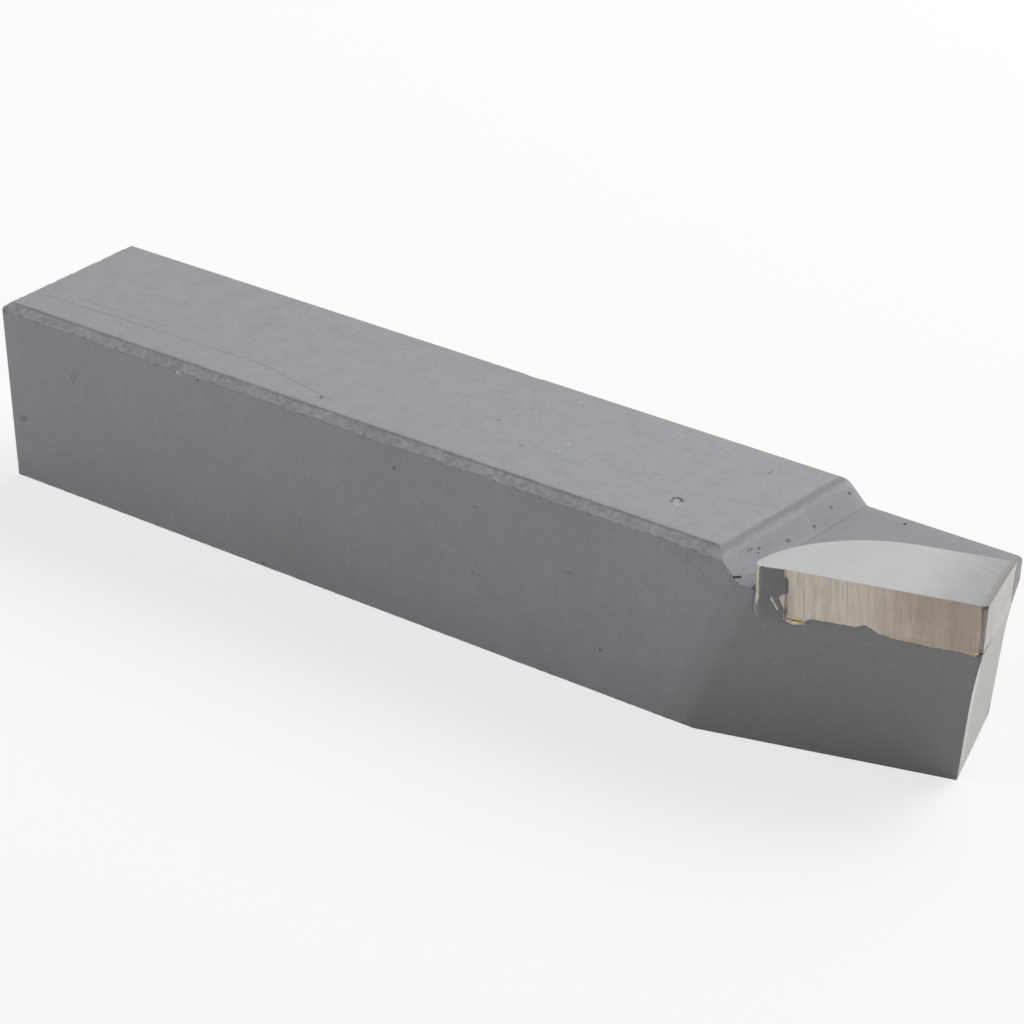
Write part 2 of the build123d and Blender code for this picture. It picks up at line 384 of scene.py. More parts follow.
def carbide_side():
    g = Graph("carbide_side")
    place = g.place()
    base, fine, broad = ground_side(g, place)
    forward = g.reach(place, NOSE, EDGE_FORWARD)
    # The last half millimetre before the nose darker: painted shade along the nose edge.
    base = g.mix(g.remap(forward, -0.66, -0.5, 0.0, 0.8, smooth=True), base, srgb(84, 77, 70))
    return g.surface(**{
        "Base Color": base, "Metallic": 0.5, "Roughness": g.remap(broad, 0.3, 0.7, 0.42, 0.5),
        "Normal": g.bump(fine, 0.006 * MM, 0.7),
    })


def carbide_nose():
    g = Graph("carbide_nose")
    place = g.place()
    lines = g.noise(g.stretched(place, (3600.0, 3600.0, 400.0)), 1.0, 3.0, 0.6)
    base = g.mix(g.remap(lines, 0.35, 0.7), srgb(158, 155, 151), srgb(134, 130, 125))
    notch = g.remap(g.reach(place, NOSE, Vector((0, 0, 1))), -0.55, -0.15, smooth=True)
    base = g.mix(g.math("MULTIPLY", notch, 0.75), base, srgb(64, 60, 57))
    foot = g.remap(g.reach(place, NOSE, Vector((0, 0, -1))), 4.1, 4.6, smooth=True)
    base = g.mix(g.math("MULTIPLY", foot, 0.6), base, srgb(124, 98, 62))
    return g.surface(**{
        "Base Color": base, "Metallic": 0.25, "Roughness": 0.5, "Normal": g.bump(lines, 0.01 * MM, 0.6),
    })


def carbide_end():
    g = Graph("carbide_end")
    place = g.place()
    lines = g.noise(g.stretched(place, (2800.0, 2800.0, 260.0)), 1.0, 3.0, 0.6)
    cloud = g.noise(place, 300.0, 3.0, 0.5)
    base = g.mix(g.remap(cloud, 0.3, 0.7), srgb(199, 195, 190), srgb(210, 207, 203))
    base = g.mix(g.remap(lines, 0.45, 0.75, 0.0, 0.4), base, srgb(176, 170, 163))
    return g.surface(**{
        "Base Color": base, "Metallic": 0.3, "Roughness": g.remap(lines, 0.3, 0.7, 0.42, 0.54),
        "Normal": g.bump(lines, 0.008 * MM, 0.6),
    })


def braze():
    """Mostly smeared with paint and grime, with the golden metal in small flecks."""
    g = Graph("braze_alloy")
    place = g.place()
    cloud = g.noise(place, 900.0, 4.0, 0.6)
    fleck = g.noise(place, 2300.0, 3.0, 0.6)
    base = g.mix(g.remap(cloud, 0.35, 0.65), srgb(70, 66, 62), srgb(104, 98, 90))
    low = g.remap(g.reach(place, Vector((0, 0, 0)), Vector((0, 0, 1))), 15.2, 14.6)
    fleck = g.math("MULTIPLY", g.remap(fleck, 0.6, 0.68), low)
    base = g.mix(fleck, base, srgb(212, 178, 104))
    return g.surface(**{
        "Base Color": base, "Metallic": g.remap(fleck, 0.0, 1.0, 0.1, 0.7), "Roughness": 0.45,
        "Normal": g.bump(cloud, 0.02 * MM, 0.8),
    })


def braze_smear():
    """Braze ground flush below the tip: the colour of the tip's side with its painted reflection, with small golden
    flecks.
    """
    g = Graph("ground_braze")
    place = g.place()
    base, fine, broad = ground_side(g, place)
    fleck = g.noise(place, 1700.0, 3.0, 0.6)
    base = g.mix(g.remap(fleck, 0.58, 0.66, 0.0, 0.7), base, srgb(204, 172, 112))
    base = g.mix(g.remap(fleck, 0.36, 0.28, 0.0, 0.7), base, srgb(104, 96, 88))
    return g.surface(**{
        "Base Color": base, "Metallic": 0.5, "Roughness": g.remap(broad, 0.3, 0.7, 0.42, 0.5),
        "Normal": g.bump(fine, 0.01 * MM, 0.8),
    })


def braze_bead():
    g = Graph("braze_bead")
    place = g.place()
    cloud = g.noise(place, 2600.0, 3.0, 0.6)
    base = g.mix(g.remap(cloud, 0.35, 0.65), srgb(190, 150, 72), srgb(250, 232, 176))
    return g.surface(**{
        "Base Color": base, "Metallic": 0.5, "Roughness": g.remap(cloud, 0.3, 0.7, 0.3, 0.45),
        "Normal": g.bump(cloud, 0.02 * MM, 0.7),
    })


PAINT_AND_PAINTED_LIGHT = paint()
LEFTOVER_PAINT = paint("leftover_paint_and_painted_light", 0.45)
WORN_AND_SHADE = worn_paint_and_shade()
STEEL = bare_steel()
CARBIDE_TOP = carbide_top()
CARBIDE_SIDE = carbide_side()
CARBIDE_END = carbide_end()
CARBIDE_NOSE = carbide_nose()
BRAZE = braze()
SMEAR = braze_smear()
BEAD = braze_bead()

SURFACES = {
    "top": (lambda x, y: Vector((x * MM, y * MM, TOP_Z)), Vector((0, 0, -1))),
    "front": (lambda x, z: Vector((x * MM, FRONT_Y, z * MM)), Vector((0, 1, 0))),
    "ledge": (lambda x, y: Vector((x * MM, y * MM, LEDGE_Z)), Vector((0, 0, -1))),
    "ramp": (lambda x, y, z: Vector((x, y, z)) * MM, Vector((-0.7, 0, -0.7))),
    "flank": (lambda x, y, z: Vector((x, y, z)) * MM, -FLANK_NORMAL),
    "rear_edge": (lambda y: Vector((REAR_X + 0.12 * MM, y * MM, TOP_Z - 0.12 * MM)), Vector((0.7, 0, -0.7))),
    "base_edge": (lambda x: Vector((x * MM, FRONT_Y + 0.08 * MM, 0.1 * MM)), Vector((0, 0.8, 0.6))),
}


class Stroke:
    """A pit, chip or scratch that follows points on one surface. Radius and depth are in millimetres."""

    def __init__(self, surface, points, radius, depth, layer, strength=1.0, ragged=0.0):
        make, self.inward = SURFACES[surface]
        corners = [make(*point) for point in points]
        self.radius = radius * MM
        self.depth = depth * MM
        self.layer = layer
        self.strength = strength
        self.ragged = ragged
        self.places = [corners[0]]
        for start, end in zip(corners, corners[1:]):
            steps = max(1, math.ceil((end - start).length / (0.5 * self.radius)))
            for step in range(1, steps + 1):
                self.places.append(start.lerp(end, step / steps))


def shank_strokes():
    strokes = [
        Stroke("top", [(23.85, -3.7), (24.05, -3.85)], 0.36, 0.09, "chip"),
        Stroke("top", [(23.35, -3.95), (23.17, -3.35), (23.35, -3.0)], 0.13, 0.08, "pit", 0.5),
        Stroke("top", [(23.35, -3.0), (23.75, -3.02), (24.15, -3.35)], 0.14, 0.10, "pit", 0.7),
        Stroke("top", [(0.05, -0.06)], 0.17, 0.04, "pit", 0.6),
        Stroke("top", [(-16.88, -6.32)], 0.22, 0.08, "pit", 0.8),
        Stroke("top", [(27.2, 5.7), (27.25, 6.4)], 0.12, 0.02, "pit", 0.35),
        Stroke("top", [(-55.5, -5.0), (-45.4, -4.6), (-26.1, -4.2), (-15.8, -6.3)], 0.17, 0.01, "pit", 0.13),
        Stroke("top", [(-52.0, -3.6), (-40.0, -3.2)], 0.17, 0.01, "pit", 0.09),
        Stroke("top", [(-4.0, 9.5), (-3.3, 9.35), (-2.4, 9.5)], 0.4, 0.09, "pit", 0.3),
        Stroke("ledge", [(40.38, 8.56)], 0.22, 0.08, "pit", 0.9),
        Stroke("front", [(-55.7, 6.75), (-55.0, 7.0)], 0.34, 0.05, "pit", 0.3),
        Stroke("front", [(-55.4, 6.85), (-55.0, 7.0)], 0.17, 0.04, "pit", 0.45),
        Stroke("front", [(-47.05, 14.4), (-47.61, 13.13)], 0.17, 0.03, "pit", 0.2),
        Stroke("front", [(-47.4, 14.5), (-47.9, 13.4)], 0.17, 0.03, "pit", 0.12),
        Stroke("front", [(-32.93, 18.47)], 0.24, 0.05, "bare", 1.0),
        Stroke("front", [(-32.5, 18.35)], 0.12, 0.03, "bare", 0.8),
        Stroke("front", [(-30.15, 18.31)], 0.16, 0.06, "pit", 0.9),
        Stroke("front", [(-23.1, 18.75)], 0.2, 0.06, "pit", 0.75),
        Stroke("front", [(-5.1, 16.24)], 0.2, 0.06, "pit", 0.65),
        Stroke("front", [(-1.71, 13.57)], 0.14, 0.05, "pit", 0.5),
        Stroke("front", [(4.74, 15.12)], 0.14, 0.04, "pit", 0.4),
        Stroke("front", [(15.6, 11.7), (16.1, 11.75)], 0.2, 0.04, "pit", 0.25),
        Stroke("front", [(24.13, 16.74)], 0.14, 0.05, "pit", 0.5),
        Stroke("front", [(30.5, 17.0), (30.85, 16.85), (31.1, 16.4)], 0.11, 0.02, "pit", 0.4),
        Stroke("front", [(-17.57, 6.9)], 0.2, 0.04, "pit", 0.35),
        Stroke("front", [(-56.82, 1.43)], 0.3, 0.02, "bare", 0.35),
        Stroke("front", [(-22.73, 0.5)], 0.3, 0.1, "pit", 0.4),
        Stroke("front", [(19.26, 4.77)], 0.2, 0.06, "pit", 0.6),
        Stroke("ramp", [(34.46, -9.48, 17.2), (34.56, -9.34, 17.13), (34.72, -8.8, 17.0)], 0.13, 0.13, "pit", 0.78),
        Stroke("front", [(36.5, 16.66)], 0.13, 0.1, "pit", 1.0),
        Stroke("flank", [(37.38, -8.8, 12.95), (37.42, -8.75, 12.5)], 0.1, 0.01, "bare", 0.2),
        Stroke("flank", [(38.04, -8.14, 9.08)], 0.12, 0.02, "bare", 0.4),
        Stroke("rear_edge", [(-8.9,), (9.2,)], 0.34, 0.10, "bare", 0.12, ragged=1.0),
        Stroke("rear_edge", [(-8.9,), (-1.5,)], 0.2, 0.0, "bare", 0.4),
        Stroke("base_edge", [(-57.0,), (33.0,)], 0.24, 0.06, "pit", 0.15, ragged=1.0),
    ]
    for x, y in ((-0.79, -1.24), (1.69, 3.22), (3.88, 7.43), (8.53, -1.95), (8.32, -0.21), (18.91, 4.41)):
        strokes.append(Stroke("top", [(x, y), (x + 0.18, y + 0.1)], 0.12, 0.03, "bare", 0.5))
    for x, y, z, radius in (
        (34.28, 8.49, 17.98, 0.24), (34.36, 5.54, 17.8, 0.2), (34.74, 2.35, 17.31, 0.26),
        (34.53, -1.36, 17.39, 0.26), (34.54, -1.91, 17.36, 0.2), (33.88, -4.88, 17.92, 0.16),
        (33.65, -5.76, 18.12, 0.16), (33.62, -6.18, 18.13, 0.14), (34.45, 7.15, 17.77, 0.14),
        (34.1, -5.3, 17.75, 0.12), (33.9, -5.0, 17.95, 0.12),
    ):
        strokes.append(Stroke("ramp", [(x, y, z)], radius, 0.07, "pit", 0.45))
    for number in range(8):
        drift = noise.noise(Vector((0.7 * number, 3.3, 0.0)))
        x = 15.6 + 0.8 * number + 0.5 * drift
        run = 1.2 + drift
        strokes.append(Stroke("top", [(x, 9.1), (x - 0.2 * run, 9.1 - 1.7 * run)], 0.13, 0.006, "bare", 0.1))
    for number in range(14):
        drift = noise.noise(Vector((0.9 * number, 0.4, 0.0)))
        x = 26.9 + 0.38 * number + 0.3 * drift
        length = 0.7 + 0.9 * drift
        strokes.append(Stroke("front", [(x, 18.3), (x + 0.05, 18.3 - length)], 0.1, 0.015, "pit", 0.12))
    return strokes


REFINING_ROUNDS = 5
REFINING_MARGIN = 0.7 * MM


def vertex_tree(bm):
    bm.verts.ensure_lookup_table()
    tree = KDTree(len(bm.verts))
    for index, vert in enumerate(bm.verts):
        tree.insert(vert.co, index)
    tree.balance()
    return tree


def distance_to_edge(place, edge):
    start, end = edge.verts[0].co, edge.verts[1].co
    run = end - start
    share = max(0.0, min(1.0, (place - start).dot(run) / run.length_squared))
    return (start + run * share - place).length


def refine(bm, strokes):
    """Divides the edges near each stroke until they are short enough to carry it."""
    for _ in range(REFINING_ROUNDS):
        tree = vertex_tree(bm)
        chosen = set()
        for stroke in strokes:
            finest = 0.55 * stroke.radius
            for place in stroke.places[::2]:
                for _, index, _ in tree.find_range(place, 1.3 * stroke.radius + REFINING_MARGIN):
                    for edge in bm.verts[index].link_edges:
                        length = edge.calc_length()
                        if edge in chosen or length <= finest:
                            continue
                        if distance_to_edge(place, edge) < 1.2 * stroke.radius + 0.2 * length:
                            chosen.add(edge)
        if not chosen:
            break
        bmesh.ops.subdivide_edges(bm, edges=list(chosen), cuts=1, use_grid_fill=True)


def press_in(bm, strokes, layers):
    """Sinks the vertices under each stroke and writes how strongly its colour shows there."""
    tree = vertex_tree(bm)
    for stroke in strokes:
        nearest = {}
        for place in stroke.places:
            for _, index, distance in tree.find_range(place, stroke.radius):
                nearest[index] = min(distance, nearest.get(index, stroke.radius))
        layer = layers[stroke.layer]
        for index, distance in nearest.items():
            vert = bm.verts[index]
            near = 1 - (distance / stroke.radius) ** 2
            wave = noise.noise(vert.co / (0.7 * MM))
            uneven = 1 + stroke.ragged * (1.6 * wave - 0.3)
            vert.co += stroke.inward * (stroke.depth * near * near * max(0.0, uneven))
            shown = min(1.0, 1.8 * near) * stroke.strength
            vert[layer] = max(vert[layer], shown)


def worn_share(point):
    """How far a point lies across the worn band, 0 at its upper line and 1 at its lower line, or None off it."""
    onto = point.y - FRONT_Y
    down = TOP_Z - point.z
    along = (WORN_ON_TOP - onto) / WORN_ON_TOP
    if point.x > WORN_ENDS_AT + 2 * MM or not -0.001 <= along <= 1.001:
        return None
    if abs(down - along * WORN_DOWN) > 0.02 * MM:
        return None
    return min(1.0, max(0.0, along))


def wave(x, length, seed):
    return noise.noise(Vector((x / length, seed, 0.0)))


def worn_depth(x):
    """How far down the front the worn band reaches at a place along the shank."""
    depth = WORN_DOWN
    depth += 0.16 * MM * wave(x, 6.0 * MM, 0.3)
    depth += 0.24 * MM * wave(x, 1.7 * MM, 4.7)
    depth += 0.22 * MM * wave(x, 0.6 * MM, 9.1)
    return max(WORN_LEAST, min(WORN_MOST, depth))


SINK_DEEPEST = 0.14


def sink_profile(share):
    """The band drops quickly under its upper line and runs out to its lower line."""
    if share < SINK_DEEPEST:
        return share / SINK_DEEPEST
    return (1 - share) / (1 - SINK_DEEPEST)


def wear_edge(bm, worn):
    inward = Vector((0, WORN_DOWN, -WORN_ON_TOP)).normalized()
    for vert in bm.verts:
        onto = vert.co.y - FRONT_Y
        down = TOP_Z - vert.co.z
        if onto > STRIP_ON_TOP or down > STRIP_DOWN or vert.co.x > WORN_ENDS_AT:
            continue
        x = vert.co.x
        fade = min(1.0, (WORN_ENDS_AT - x) / (WORN_ENDS_AT - WORN_FADES_FROM))
        share = worn_share(vert.co)
        if share is not None:
            vert[worn] = share
            if 0.01 < share < 0.99:
                pitted = 0.03 * MM * noise.noise(vert.co / (0.5 * MM))
                vert.co += inward * fade * (WORN_SINK * sink_profile(share) + max(-0.01 * MM, pitted))
        across = max(0.0, 1 - onto / WORN_ON_TOP)
        below = min(1.0, (STRIP_DOWN - down) / (STRIP_DOWN - WORN_DOWN))
        vert.co.z -= (worn_depth(x) - WORN_DOWN) * across * below * fade
        near_line = max(0.0, 1 - abs(onto - WORN_ON_TOP) / (STRIP_ON_TOP - WORN_ON_TOP))
        vert.co.y += 0.07 * MM * (wave(x, 2.2 * MM, 2.0) + 0.6 * wave(x, 0.7 * MM, 7.0)) * near_line * fade


REAR_CORNER_LENGTH = 1.3 * MM
REAR_CORNER_FULLNESS = 2.2


def fill_rear_corner(bm, worn):
    """The wear runs out at the rear end, where the edge keeps its full, slightly rounded corner."""
    for vert in bm.verts:
        beyond = (vert.co.x - REAR_X) / REAR_CORNER_LENGTH
        if beyond >= 1 or vert[worn] <= 0 or vert[worn] >= 1:
            continue
        t = vert[worn]
        ends = (1 - t) ** 2, 2 * REAR_CORNER_FULLNESS * t * (1 - t), t ** 2
        onto = WORN_ON_TOP * ends[0] / sum(ends)
        down = WORN_DOWN * ends[2] / sum(ends)
        share = 1 - beyond * beyond * (3 - 2 * beyond)
        vert.co.y += (FRONT_Y + onto - vert.co.y) * share
        vert.co.z += (TOP_Z - down - vert.co.z) * share


def densify_worn_strip(bm):
    along = []
    for edge in bm.edges:
        start, end = edge.verts[0].co, edge.verts[1].co
        if max(start.y, end.y) > FRONT_Y + STRIP_ON_TOP + 0.01 * MM or max(start.x, end.x) > WORN_ENDS_AT:
            continue
        if min(start.z, end.z) < TOP_Z - STRIP_DOWN - 0.01 * MM:
            continue
        if abs(end.x - start.x) > 0.9 * edge.calc_length():
            along.append(edge)
    bmesh.ops.subdivide_edges(bm, edges=along, cuts=2)


def make_shank():
    bm = cad_copy("shank")
    break_edges(bm, EDGE_BREAK, 28.0)
    x = REAR_X + CUT_ALONG
    while x < SHANK_HIGH.x:
        cut(bm, (x, 0, 0), (1, 0, 0))
        x += CUT_ALONG
    y = FRONT_Y + 3.2 * MM
    while y < BACK_Y - 0.6 * MM:
        cut(bm, (0, y, 0), (0, 1, 0))
        y += CUT_ACROSS
    for step in CUTS_NEAR_FRONT_EDGE:
        cut(bm, (0, FRONT_Y + step * MM, 0), (0, 1, 0))
    z = CUT_UP
    while z < TOP_Z - 1.9 * MM:
        cut(bm, (0, 0, z), (0, 0, 1))
        z += CUT_UP
    for step in CUTS_UNDER_TOP:
        cut(bm, (0, 0, TOP_Z - step * MM), (0, 0, 1))
    joint_point = NOSE - RAKE_NORMAL * JOINT_DEPTH
    cut(bm, joint_point, RAKE_NORMAL, beyond_x=50 * MM)
    densify_worn_strip(bm)

    bm.normal_update()
    for face in bm.faces:
        centre = face.calc_center_median()
        under_joint = (centre - joint_point).dot(RAKE_NORMAL) < 0
        if centre.x > 50 * MM and face.normal.x > 0.6 and face.normal.z < 0.5 and under_joint:
            face.material_index = 1
        elif worn_share(centre) is not None and centre.x < WORN_ENDS_AT:
            face.material_index = 2

    strokes = shank_strokes()
    refine(bm, strokes)
    layers = {name: bm.verts.layers.float.new(name) for name in ("pit", "bare", "chip", "worn")}
    wear_edge(bm, layers["worn"])
    fill_rear_corner(bm, layers["worn"])
    press_in(bm, strokes, layers)
    return finish_mesh(bm, "shank_body", 24.0, (PAINT_AND_PAINTED_LIGHT, STEEL, WORN_AND_SHADE))


OUTWARD = -EDGE_INWARD
LAND_FROM = -18.6 * MM
LAND_LENGTH = 3.1 * MM
LAND_INSET = 0.085 * MM


def land_inset(along):
    """The tip's rear land lies in a little, so that the paint on it stays within the tool's width."""
    return LAND_INSET * max(0.0, min(1.0, (LAND_FROM - along) / LAND_LENGTH))


def make_tip():
    bm = cad_copy("carbide_tip")
    break_edges(bm, 0.05 * MM, 40.0)
    bm.normal_update()
    for face in bm.faces:
        across = face.normal.dot(END_NORMAL)
        if face.normal.z > 0.7:
            face.material_index = 0
        elif across > 0.97:
            face.material_index = 2
        elif across > 0.5:
            face.material_index = 3
        else:
            face.material_index = 1
    for vert in bm.verts:
        vert.co -= OUTWARD * land_inset((vert.co - NOSE).dot(EDGE_FORWARD))
    return finish_mesh(bm, "carbide_insert", 20.0, (CARBIDE_TOP, CARBIDE_SIDE, CARBIDE_END, CARBIDE_NOSE))


# A skin is laid on the tip's side and the flank below it, on a grid along the cutting edge and upwards.
SKIN_STEP = 0.08 * MM
SKIN_FROM = -23.4 * MM
SKIN_TO = -0.76 * MM
SKIN_LOW = 12.6 * MM
SKIN_HIGH = 19.06 * MM
SKIN_THICKNESS = 0.12 * MM
SKIN_FADES_OVER = 0.8
SKIN_MARGIN = 0.12
SKIN_JAG = 0.05
RAY_START = 3.0 * MM
BRIDGED = 4
GROOVE_DEPTH = 0.12 * MM


def skin_point(along, height, out):
    point = NOSE + EDGE_FORWARD * along + OUTWARD * out
    return Vector((point.x, point.y, height))


def spread(values, pick, steps):
    """The highest or lowest value within some steps of each grid point."""
    for a, b in ((1, 0), (0, 1)):
        values = {
            (i, j): pick(values.get((i + n * a, j + n * b), here) for n in range(-steps, steps + 1))
            for (i, j), here in values.items()
        }
    return values


def softened(values):
    result = {}
    for (i, j), here in values.items():
        near = [values.get((i + a, j + b), here) for a in (-1, 0, 1) for b in (-1, 0, 1)]
        result[i, j] = sum(near) / len(near)
    return result


def read_side():
    """How far out the surface lies over the grid, and the same with its grooves bridged."""
    trees = []
    for node in ("shank", "carbide_tip", "braze_joint"):
        bm = bmesh.new()
        bm.from_mesh(frame["nodes"][node].data)
        trees.append(BVHTree.FromBMesh(bm))
        bm.free()
    columns = round((SKIN_TO - SKIN_FROM) / SKIN_STEP)
    rows = round((SKIN_HIGH - SKIN_LOW) / SKIN_STEP)
    out = {}
    for i in range(columns + 1):
        along = SKIN_FROM + i * SKIN_STEP
        for j in range(rows + 1):
            start = skin_point(along, SKIN_LOW + j * SKIN_STEP, RAY_START)
            hits = [tree.ray_cast(start, -OUTWARD, 2 * RAY_START)[3] for tree in trees]
            hits = [RAY_START - distance for distance in hits if distance is not None]
            if hits:
                out[i, j] = max(hits) - land_inset(along)
    closed = softened(spread(spread(out, max, BRIDGED), min, BRIDGED))
    corners = spread(out, max, 1)
    return out, {key: max(corners[key], closed[key]) for key in out}


def inside_distance(point, outline):
    """Signed distance from a point to a closed outline, positive inside."""
    px, pz = point
    nearest = math.inf
    inside = False
    for (ax, az), (bx, bz) in zip(outline, outline[1:] + outline[:1]):
        dx, dz = bx - ax, bz - az
        share = ((px - ax) * dx + (pz - az) * dz) / (dx * dx + dz * dz)
        share = max(0.0, min(1.0, share))
        nearest = min(nearest, math.hypot(ax + dx * share - px, az + dz * share - pz))
        if (az > pz) != (bz > pz) and px < ax + (pz - az) / dz * dx:
            inside = not inside
    return nearest if inside else -nearest


def make_skin(name, outline, height, slope, material, holes=()):
    """A thin closed skin inside an outline of (along the edge, height above the base) in millimetres."""
    bm = bmesh.new()
    low_a = min(a for a, _ in outline) - SKIN_MARGIN
    high_a = max(a for a, _ in outline) + SKIN_MARGIN
    low_h = min(h for _, h in outline) - SKIN_MARGIN
    high_h = max(h for _, h in outline) + SKIN_MARGIN
    verts = {}
    for (i, j), smooth in BRIDGED_SIDE.items():
        along = SKIN_FROM + i * SKIN_STEP
        up = SKIN_LOW + j * SKIN_STEP
        if not (low_a < along / MM < high_a and low_h < up / MM < high_h):
            continue
        point = (along / MM, up / MM)
        inside = inside_distance(point, outline)
        for hole in holes:
            inside = min(inside, -inside_distance(point, hole))
        jagged = noise.noise(Vector((along, up, 0)) / (0.3 * MM)) + noise.noise(Vector((along, up, 1)) / (0.13 * MM))
        inside += SKIN_JAG * jagged
        if inside < -SKIN_MARGIN:
            continue
        uneven = 1 + 0.25 * noise.noise(Vector((along, up, 0)) / (0.6 * MM))
        lift = min(height * uneven, inside * slope)
        hidden = min((along - SKIN_FROM) / MM, (up - SKIN_LOW) / MM) / SKIN_FADES_OVER
        hidden = min(1.0, hidden)
        lift = -0.02 + (lift + 0.02) * hidden
        share = min(1.0, max(0.0, inside / SKIN_MARGIN))
        rough = max(SIDE[i, j], smooth - GROOVE_DEPTH)
        surface = rough + (smooth - rough) * share
        verts[i, j] = bm.verts.new(skin_point(along, up, surface + lift * MM))
    for i, j in verts:
        corners = [verts.get(key) for key in ((i, j), (i + 1, j), (i + 1, j + 1), (i, j + 1))]
        if None not in corners:
            bm.faces.new(corners)
    loose = [vert for vert in bm.verts if not vert.link_faces]
    bmesh.ops.delete(bm, geom=loose, context="VERTS")
    bm.normal_update()
    if bm.faces[:] and sum(face.normal.dot(OUTWARD) for face in bm.faces) < 0:
        bmesh.ops.reverse_faces(bm, faces=bm.faces)
    bmesh.ops.solidify(bm, geom=bm.faces[:], thickness=SKIN_THICKNESS)
    bmesh.ops.recalc_face_normals(bm, faces=bm.faces)
    return finish_mesh(bm, name, 60.0, (material,))


# Paint left on the tip's rear land, and along the joint up to the bare ground side.
PATCH_LEFT = [
    (-24.0, 12.0), (-24.0, 16.69), (-21.38, 16.69), (-21.36, 15.5), (-21.2, 15.3), (-21.0, 16.06),
    (-21.04, 17.49), (-21.02, 18.25),
]
PATCH_TOP = [(-21.03, 19.03), (-18.72, 19.03)]
PATCH_RIGHT = [
    (-18.7, 18.5), (-18.4, 17.95), (-18.4, 16.8), (-19.05, 16.5), (-19.1, 16.2), (-18.55, 15.1),
    (-18.65, 14.3), (-18.55, 13.9),
]
PAINT_ALONG_JOINT = [
    (-18.0, 13.7), (-17.0, 13.9), (-16.7, 14.35), (-16.2, 14.55), (-12.1, 14.6), (-11.2, 15.0),
    (-10.0, 14.4), (-5.5, 14.0), (-2.6, 14.05), (0.0, 13.8), (0.0, 12.0),
]
BARE_SLIVER = [(-20.0, 16.5), (-19.8, 16.35), (-19.1, 15.2), (-19.3, 15.15), (-19.9, 16.1)]
SMEAR_OUTLINE = [(-18.7, 13.5), (-18.7, 14.5), (0.0, 14.5), (0.0, 13.5)]
NOTCH_OUTLINE = [(-1.15, 13.95), (-1.05, 14.12), (0.0, 14.25), (0.0, 13.5), (-0.8, 13.6)]
BEADS = {
    "braze_bead_rear": [(-18.15, 13.95), (-17.9, 14.2), (-17.3, 14.26), (-16.85, 14.1), (-17.0, 13.88), (-17.6, 13.8)],
    "braze_bead_middle": [(-3.2, 14.1), (-3.0, 14.3), (-2.7, 14.2), (-2.45, 14.33), (-2.5, 14.1)],
    "braze_bead_nose": [(-1.4, 14.15), (-1.15, 14.4), (-0.8, 14.32), (-0.8, 14.0), (-1.1, 14.0)],
}


def add_piece(piece, node=None):
    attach(piece, "root")
    if node is not None:
        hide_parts(node)


add_piece(make_shank(), "shank")
add_piece(make_tip(), "carbide_tip")

joint = frame["nodes"]["braze_joint"]
for slot in joint.material_slots:
    slot.material = BRAZE

SIDE, BRIDGED_SIDE = read_side()
film_outline = PATCH_LEFT + PATCH_TOP + PATCH_RIGHT + PAINT_ALONG_JOINT
film = make_skin("paint_overlap", film_outline, 0.035, 0.5, LEFTOVER_PAINT, (BARE_SLIVER,))
add_piece(film)
add_piece(make_skin("ground_braze_line", SMEAR_OUTLINE, 0.012, 0.3, SMEAR))
# A dark braze skin under the nose: partly the dark joint, partly painted shade under the tip's overhang.
add_piece(make_skin("braze_and_painted_shade_under_nose", NOTCH_OUTLINE, 0.02, 0.5, BRAZE))
for bead_name, bead_outline in BEADS.items():
    add_piece(make_skin(bead_name, bead_outline, 0.06, 0.8, BEAD))


# The floor as the camera sees it: a glow that brings the far floor to white, and the shaded part on it.
FLOOR_GLOW = (0.72, 0.715, 0.708, 1.0)
FLOOR_SHADED = (0.25, 0.249, 0.246, 1.0)
FLOOR_SIZE = 6.0


def floor():
    bm = bmesh.new()
    bmesh.ops.create_grid(bm, x_segments=4, y_segments=4, size=FLOOR_SIZE / 2)
    g = Graph("pale_floor")
    cloud = g.noise(g.place(), 9.0, 2.0, 0.5)
    bounce = g.add("ShaderNodeBsdfDiffuse", {"Color": g.mix(cloud, srgb(236, 235, 233), srgb(240, 240, 238))})
    shaded = g.add("ShaderNodeBsdfDiffuse", {"Color": FLOOR_SHADED})
    glow = g.add("ShaderNodeEmission", {"Color": FLOOR_GLOW, "Strength": 1.0})
    seen = g.add("ShaderNodeAddShader", {0: shaded.outputs[0], 1: glow.outputs[0]})
    path = g.add("ShaderNodeLightPath")
    direct = g.math("ADD", path.outputs["Is Camera Ray"], path.outputs["Is Glossy Ray"])
    direct = g.math("ADD", direct, path.outputs["Is Transmission Ray"], clamp=True)
    shown = g.add("ShaderNodeMixShader", {0: direct, 1: bounce.outputs[0], 2: seen.outputs[0]})
    g.add("ShaderNodeOutputMaterial", {"Surface": shown.outputs[0]})
    finish_mesh(bm, "floor", 30.0, (g.material,))


def area_light(name, place, size, power):
    data = bpy.data.lights.new(name, "AREA")
    data.shape = "DISK"
    data.size = size
    data.energy = power
    light = bpy.data.objects.new(name, data)
    light.location = place
    light.rotation_mode = "QUATERNION"
    light.rotation_quaternion = (-Vector(place)).to_track_quat("-Z", "Y")
    bpy.context.scene.collection.objects.link(light)


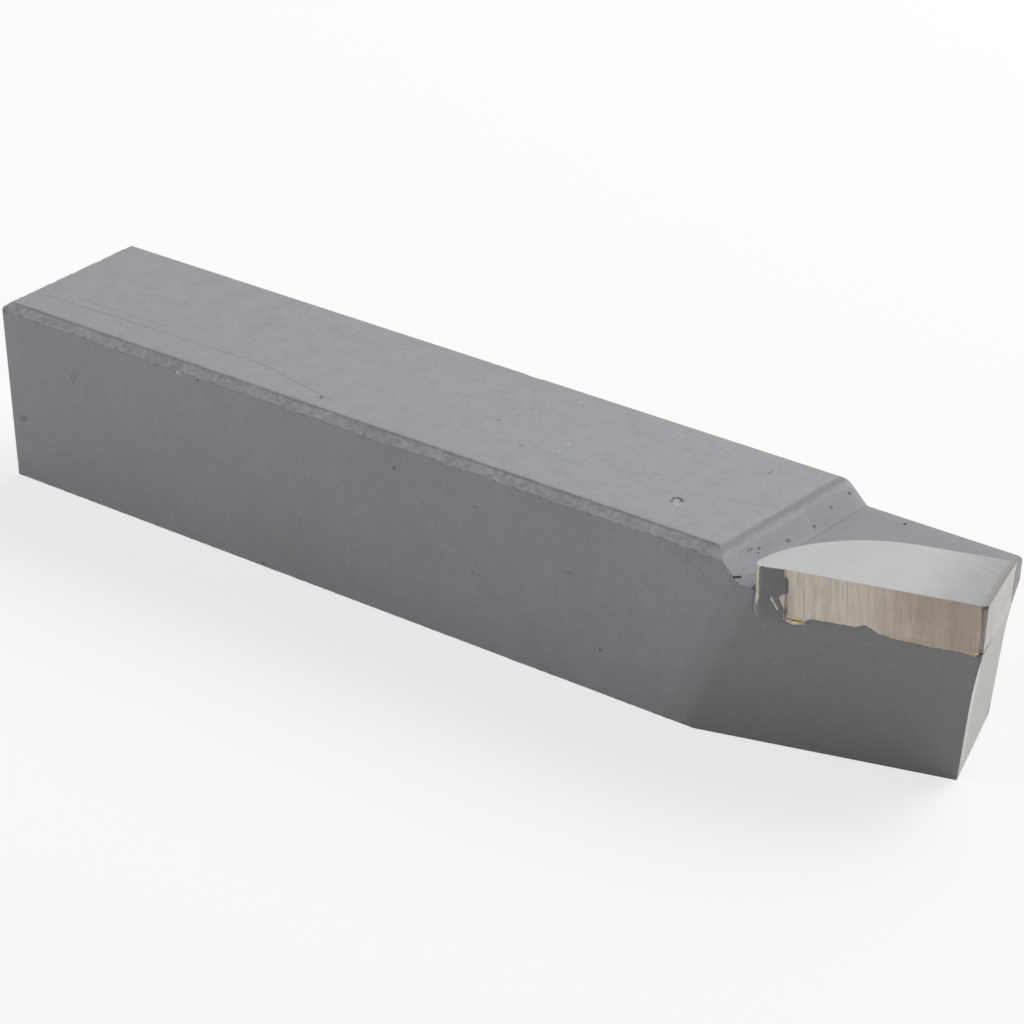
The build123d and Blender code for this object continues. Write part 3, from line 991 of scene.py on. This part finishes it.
def world():
    w = bpy.data.worlds.new("studio")
    bpy.context.scene.world = w
    w.use_nodes = True
    tree = w.node_tree
    tree.nodes.clear()
    path = tree.nodes.new("ShaderNodeLightPath")
    fill = tree.nodes.new("ShaderNodeBackground")
    fill.inputs["Color"].default_value = (1, 1, 1, 1)
    fill.inputs["Strength"].default_value = 0.1
    white = tree.nodes.new("ShaderNodeBackground")
    white.inputs["Color"].default_value = (1, 1, 1, 1)
    white.inputs["Strength"].default_value = 1.0
    mix = tree.nodes.new("ShaderNodeMixShader")
    out = tree.nodes.new("ShaderNodeOutputWorld")
    tree.links.new(path.outputs["Is Camera Ray"], mix.inputs[0])
    tree.links.new(fill.outputs[0], mix.inputs[1])
    tree.links.new(white.outputs[0], mix.inputs[2])
    tree.links.new(mix.outputs[0], out.inputs["Surface"])


# The camera of the photograph, solved from the bar's edges.
AZIMUTH = math.radians(39.921)
ELEVATION = math.radians(27.286)
ROLL = math.radians(-1.655)
AIM = Vector((-0.25, 0.0, 9.5)) * MM
ASIDE = 1.142 * MM
BELOW = -0.352 * MM
DISTANCE = 391.78 * MM
FOCAL_IN_WIDTHS = 4096.86 / 1024
SENSOR = 36.0


def camera():
    back = Vector((
        math.sin(AZIMUTH) * math.cos(ELEVATION),
        -math.cos(AZIMUTH) * math.cos(ELEVATION),
        math.sin(ELEVATION),
    ))
    right = Vector((0, 0, 1)).cross(back).normalized()
    up = back.cross(right)
    rolled_right = right * math.cos(ROLL) + up * math.sin(ROLL)
    rolled_up = up * math.cos(ROLL) - right * math.sin(ROLL)
    place = AIM + rolled_right * ASIDE + rolled_up * BELOW + back * DISTANCE
    data = bpy.data.cameras.new("camera")
    data.sensor_width = SENSOR
    data.lens = FOCAL_IN_WIDTHS * SENSOR
    data.clip_start = 0.01
    data.clip_end = 20.0
    cam = bpy.data.objects.new("camera", data)
    rotation = Matrix((rolled_right, rolled_up, back)).transposed()
    cam.matrix_world = Matrix.Translation(place) @ rotation.to_4x4()
    bpy.context.scene.collection.objects.link(cam)
    bpy.context.scene.camera = cam


floor()
world()
area_light("key_right", (0.35, 0.5, 0.55), 0.7, 2.69)
area_light("key_middle", (0.15, 0.6, 0.6), 0.7, 2.98)
area_light("key_left", (-0.1, 0.6, 0.6), 0.7, 2.24)
area_light("fill_front_left", (-0.7, -0.45, 0.5), 0.8, 4.19)
camera()

bpy.context.scene.view_settings.view_transform = "Standard"
